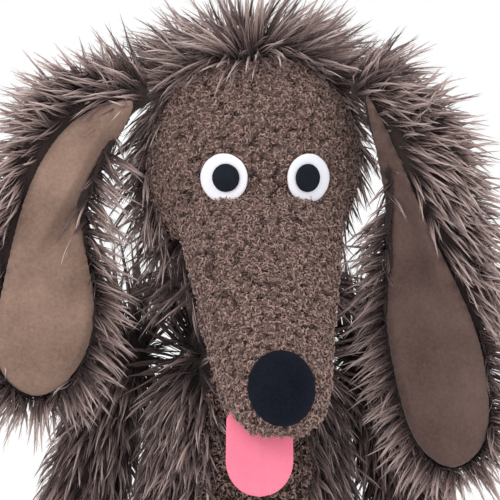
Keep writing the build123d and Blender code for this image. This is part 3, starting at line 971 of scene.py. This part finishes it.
def make_ear(side, side_name, velour):
    """One ear: its velour front, its furry back and the furry knot at its root."""
    body = "ear_" + side_name
    fur_node = "ear_fur_" + side_name
    lining_node = "ear_lining_" + side_name
    low, high = (np.array(c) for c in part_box(lining_node))
    outline = flat_tree([vertex.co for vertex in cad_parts[lining_node].data.vertices])
    lining = ear_lining_mesh("ear_velour_" + side_name, lining_node, velour, CREASES[side_name], outline)
    dress(lining, body, "velour", lining_node)
    lining_places, _ = points_of(lining)
    tree = flat_tree(lining_places[::3])
    levels, middles = midline(lining_places)

    flap = body_from("ear_back_" + side_name, [fur_node], backing_cloth, 0.003, 8, -EAR_SHRINK)
    places, _ = points_of(flap)
    height = (places[:, 2] - low[2]) / (high[2] - low[2])
    outer = (places[:, 0] - np.interp(places[:, 2], levels, middles)) * side > 0
    kept = EAR_BAND * smooth_step(0.30, 0.55, height) * outer
    for k, place in enumerate(places):
        edge, _, gap = tree.find((place[0], 0.0, place[2]))
        pull = min(1.0, max(kept[k], EAR_MARGIN / max(gap, 1e-6)))
        places[k, 0] = edge.x + (place[0] - edge.x) * pull
        places[k, 2] = edge.z + (place[2] - edge.z) * pull
    places[:, 1] -= EAR_SHRINK * 0.5
    flap.data.vertices.foreach_set("co", places.reshape(-1))
    flap.data.update()
    dress(flap, body, "shaggy_fur", fur_node)

    def ear_pile(where, facing):
        under_lining = (facing[:, 1] < 0.2) & (flat_gap(outline, where) > RIM_WIDTH)
        rim = (facing[:, 1] > -0.35) & ~under_lining
        return rim | (flat_gap(tree, where) > BAND_START)

    roots, facing = scatter(flap, 0.0046, 50 + side, ear_pile)
    along = (roots[:, 2] - low[2]) / (high[2] - low[2])
    outward = np.clip((roots[:, 0] - np.interp(roots[:, 2], levels, middles)) / 0.03, -1, 1)
    top = smooth_step(0.72, 1.0, along)
    inner = np.where(outward * side < 0, 0.5, 0.95)
    aside = outward * inner * (1 - top) + side * 0.85 * top
    flow = np.stack((aside, 0.12 + facing[:, 1] * 0.3, -0.6 + 1.0 * top), axis=1)
    flow = unit(flow + facing * (0.5, 0.0, 0.5))
    pile = tufts(
        "ear_fur_pile_" + side_name, roots, facing, flow, EAR_PILE, 60 + side, light=0.95, lift=0.46,
        droop=0.28,
    )
    dress(pile, body, "shaggy_fur")

    root = np.array((high[0] if side < 0 else low[0], KNOT_Y, high[2] + KNOT_RISE))
    knot = ball("ear_knot_" + side_name, root, KNOT_RADIUS, backing_cloth)
    dress(knot, "head", "shaggy_fur")
    roots, facing = scatter(knot, 0.0034, 90 + side)
    flow = np.stack(
        (facing[:, 0] * 0.3 + side * 0.75, facing[:, 1] * 0.3 - 0.1, facing[:, 2] * 0.4 + 0.25), axis=1
    )
    pile = tufts(
        "ear_knot_fur_" + side_name, roots, facing, unit(flow), KNOT_PILE, 95 + side, light=0.6, lift=0.25,
        droop=0.3,
    )
    dress(pile, "head", "shaggy_fur")


make_ear(-1, "right", velour_light)
# The left ear's lining takes the darker velour: painted shade.
make_ear(1, "left", velour_dark)

# ---------------------------------------------------------------- arms
ARM_GROW = 0.005
ARM_PILE = 0.036
RAISED_PILE = 0.036


def make_arm(side, side_name):
    """One arm: its padded core, its fur, which stands up at the shoulder, and its paw."""
    body = "arm_" + side_name
    stuffing_node = "arm_stuffing_" + side_name
    core = body_from("arm_backing_" + side_name, [stuffing_node], backing_cloth, 0.003, 4, ARM_GROW)
    dress(core, body, "shaggy_fur", "arm_fur_" + side_name, stuffing_node)
    roots, facing = scatter(core, 0.0045, 70 + side)
    raised = smooth_step(0.19, 0.23, roots[:, 2]) * smooth_step(0.045, 0.02, roots[:, 1])
    comb = unit(from_whorl(roots, facing, 0.6) + UP * 1.8 * raised[:, None])
    pile = tufts(
        "arm_fur_pile_" + side_name, roots, facing, comb, ARM_PILE + RAISED_PILE * raised, 80 + side,
        light=0.36, lift=0.42, droop=0.5 * (1 - raised[:, None]),
    )
    dress(pile, body, "shaggy_fur")
    paw = body_from("paw_pad_" + side_name, ["paw_" + side_name], velour_dark, 0.0025, 6)
    dress(paw, body, "velour", "paw_" + side_name)


make_arm(-1, "right")
make_arm(1, "left")

# ---------------------------------------------------------------- floor, light and camera
FLOOR_SIZE = 3.0
bpy.ops.mesh.primitive_plane_add(size=FLOOR_SIZE, location=(0, 0, 0))
floor = bpy.context.object
floor.name = "floor"
floor_material, _, _, floor_shader = new_material("floor")
floor_shader.inputs["Base Color"].default_value = (0.90, 0.90, 0.90, 1)
floor_shader.inputs["Roughness"].default_value = 0.8
floor.data.materials.append(floor_material)

world = bpy.data.worlds.new("studio")
bpy.context.scene.world = world
world.use_nodes = True
world.node_tree.nodes["Background"].inputs["Color"].default_value = (1.0, 1.0, 1.0, 1)
world.node_tree.nodes["Background"].inputs["Strength"].default_value = 1.0


def softbox(name, place, aim, size, power):
    """Square soft light of that size in metres and power in watts."""
    data = bpy.data.lights.new(name, "AREA")
    data.size = size
    data.energy = power
    lamp = bpy.data.objects.new(name, data)
    bpy.context.scene.collection.objects.link(lamp)
    lamp.location = place
    lamp.rotation_euler = (Vector(aim) - Vector(place)).to_track_quat("-Z", "Y").to_euler()


softbox("key", (-1.1, -1.6, 1.5), (0, 0, 0.28), 1.2, 14)
softbox("fill", (1.5, -1.3, 0.8), (0, 0, 0.28), 1.4, 4)
softbox("top", (0.0, 0.3, 2.0), (0, 0, 0.3), 1.2, 7)

bpy.context.scene.view_settings.view_transform = "Standard"
SEEN_WIDTH = 0.345
SEEN_MIDDLE = (0.0028, 0.2825)
CAMERA_FAR = 6.0
FACE_Y = -0.06
SENSOR = 36.0
camera_data = bpy.data.cameras.new("camera")
camera_data.sensor_width = SENSOR
camera_data.lens = SENSOR * CAMERA_FAR / SEEN_WIDTH
camera = bpy.data.objects.new("camera", camera_data)
bpy.context.scene.collection.objects.link(camera)
camera.location = (SEEN_MIDDLE[0], -CAMERA_FAR + FACE_Y, SEEN_MIDDLE[1])
camera.rotation_euler = (math.pi / 2, 0, 0)
bpy.context.scene.camera = camera
